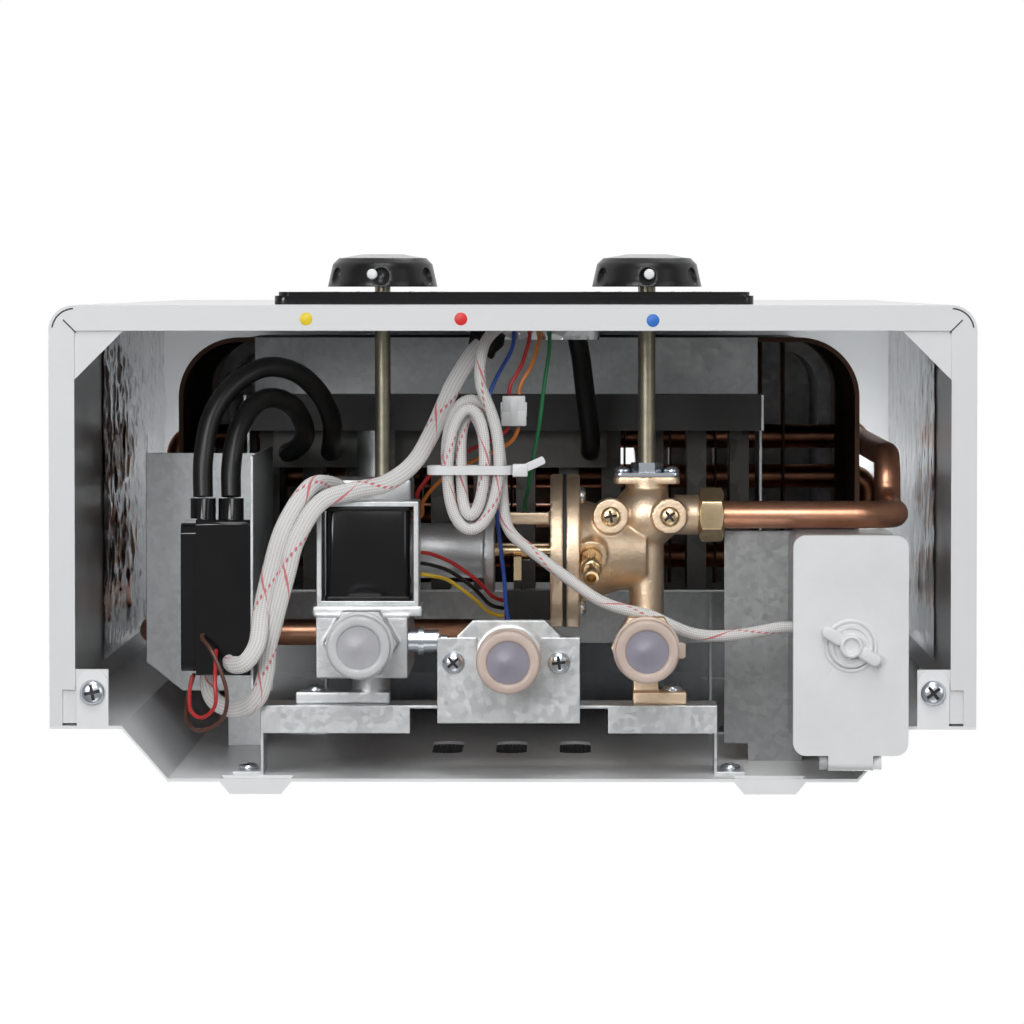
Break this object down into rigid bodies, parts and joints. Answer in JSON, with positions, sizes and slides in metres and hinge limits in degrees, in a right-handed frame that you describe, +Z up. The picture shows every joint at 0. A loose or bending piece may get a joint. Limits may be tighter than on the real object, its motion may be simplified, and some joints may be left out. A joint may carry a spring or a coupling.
{
  "type": "tankless gas water heater",
  "caption": "Wall-hung tankless gas water heater with an open bottom, two front control knobs, a copper heat exchanger and capped pipe ports.",
  "frame": {"origin": "midway between the two hanging holes, on the plane of the wall", "axes": "+X to the right as seen from the room, +Y into the wall, +Z up"},
  "size_m": [0.36, 0.21, 0.6634],
  "materials": {
    "white_paint": "satin white enamel",
    "rear_paint": "satin light grey enamel",
    "foil": "bright crinkled foil",
    "plated_steel": "zinc plated",
    "black_gloss": "polished black",
    "display": "dark tinted",
    "black_plastic": "moulded black",
    "grey_insert": "satin metal inset",
    "zinc_spindle": "yellow passivated",
    "cast_aluminium": "die cast",
    "galvanised": "galvanised sheet",
    "brass": "sand cast and machined",
    "copper": "dull copper",
    "rubber": "black moulded rubber",
    "grey_cap": "translucent",
    "warm_cap": "translucent",
    "white_plastic": "smooth white",
    "clear_plastic": "milky translucent",
    "burner_steel": "heat darkened",
    "black_steel": "black enamel",
    "porcelain": "glazed porcelain",
    "woven": "white woven sleeve with a coloured tracer",
    "lead_rubber": "black silicone jacket",
    "wire_plastic": "coloured insulation, one colour to a wire"
  },
  "bodies": {
    "heater": {"front_cover": "white_paint", "back_panel": "rear_paint", "foil_liners": "foil", "casing_screws": "plated_steel", "control_fascia": "black_gloss", "display_window": "display", "control_module": "foil", "gas_inlet_body": "cast_aluminium", "gas_test_nipple": "plated_steel", "solenoid_frame": "galvanised", "solenoid_coil": "black_plastic", "gas_valve_body": "cast_aluminium", "gas_riser": "galvanised", "gas_manifold": "black_steel", "water_valve_body": "brass", "diaphragm_cover": "brass", "diaphragm": "rubber", "gland_plate": "plated_steel", "valve_screws": "plated_steel", "blanking_plugs": "brass", "union_nut": "brass", "inlet_pipe": "copper", "cold_inlet": "brass", "microswitch": "black_plastic", "hot_pipe": "copper", "hot_outlet": "brass", "hot_bracket": "galvanised", "exchanger_shell": "copper", "exchanger_fins": "copper", "exchanger_tubes": "copper", "flue_hood": "galvanised", "flue_collar": "galvanised", "burner_frame": "galvanised", "burner_blades": "burner_steel", "ignition_electrodes": "porcelain", "igniter": "black_plastic", "igniter_bracket": "galvanised", "ignition_leads": "lead_rubber", "battery_box": "clear_plastic", "battery_bracket": "galvanised", "valve_rail": "galvanised", "harness_hank": "woven", "harness_clips": "white_plastic", "sleeved_leads": "woven", "signal_wires": "wire_plastic"},
    "gas_knob": {"gas_knob": "black_plastic", "gas_knob_cap": "grey_insert", "gas_spindle": "zinc_spindle"},
    "water_knob": {"water_knob": "black_plastic", "water_knob_cap": "grey_insert", "water_spindle": "zinc_spindle"},
    "battery_lid": {"battery_lid": "white_plastic"},
    "battery_lock": {"battery_lock": "white_plastic"},
    "gas_cap": {"gas_inlet_cap": "grey_cap"},
    "hot_cap": {"hot_outlet_cap": "warm_cap"},
    "cold_cap": {"cold_inlet_cap": "warm_cap"},
    "drain_plug": {"drain_plug": "brass"},
    "push_rod": {"push_rod": "brass"},
    "microswitch_lever": {"microswitch_lever": "brass"},
    "solenoid_plunger": {"solenoid_plunger": "plated_steel"}
  },
  "joints": [
    {"name": "gas_knob_turn", "type": "hinge", "parent": "heater", "child": "gas_knob", "pos_m": [-0.053, -0.15, -0.48], "axis": [0, -1, 0], "range_deg": [-60, 60]},
    {"name": "water_knob_turn", "type": "hinge", "parent": "heater", "child": "water_knob", "pos_m": [0.053, -0.15, -0.48], "axis": [0, -1, 0], "range_deg": [-135, 135]},
    {"name": "battery_lid_swing", "type": "hinge", "parent": "heater", "child": "battery_lid", "pos_m": [0.131, -0.0126, -0.564], "axis": [1, 0, 0], "range_deg": [0, 80]},
    {"name": "battery_lock_turn", "type": "hinge", "parent": "battery_lid", "child": "battery_lock", "pos_m": [0.131, -0.0583, -0.567], "axis": [0, 0, 1], "range_deg": [0, 90]},
    {"name": "gas_cap_pull", "type": "slide", "parent": "heater", "child": "gas_cap", "axis": [0, 0, -1], "range_m": [0, 0.05]},
    {"name": "hot_cap_pull", "type": "slide", "parent": "heater", "child": "hot_cap", "axis": [0, 0, -1], "range_m": [0, 0.05]},
    {"name": "cold_cap_pull", "type": "slide", "parent": "heater", "child": "cold_cap", "axis": [0, 0, -1], "range_m": [0, 0.05]},
    {"name": "drain_plug_turn", "type": "hinge", "parent": "heater", "child": "drain_plug", "pos_m": [0.03075, -0.0967, -0.48], "axis": [0, 0.309, -0.9511], "range_deg": [0, 360]},
    {"name": "push_rod_slide", "type": "slide", "parent": "heater", "child": "push_rod", "axis": [-1, 0, 0], "range_m": [0, 0.004], "stiffness_N_per_m": 400, "springref_m": -0.004},
    {"name": "microswitch_lever_swing", "type": "hinge", "parent": "heater", "child": "microswitch_lever", "pos_m": [0.0012, -0.078, -0.482], "axis": [0, 0, -1], "range_deg": [0, 32]},
    {"name": "solenoid_plunger_slide", "type": "slide", "parent": "heater", "child": "solenoid_plunger", "axis": [0, -1, 0], "range_m": [0, 0.004], "stiffness_N_per_m": 300, "springref_m": -0.004}
  ],
  "couplings": [
    {"joint": "microswitch_lever_swing", "follows": "push_rod_slide", "rad_per_m": 125}
  ]
}
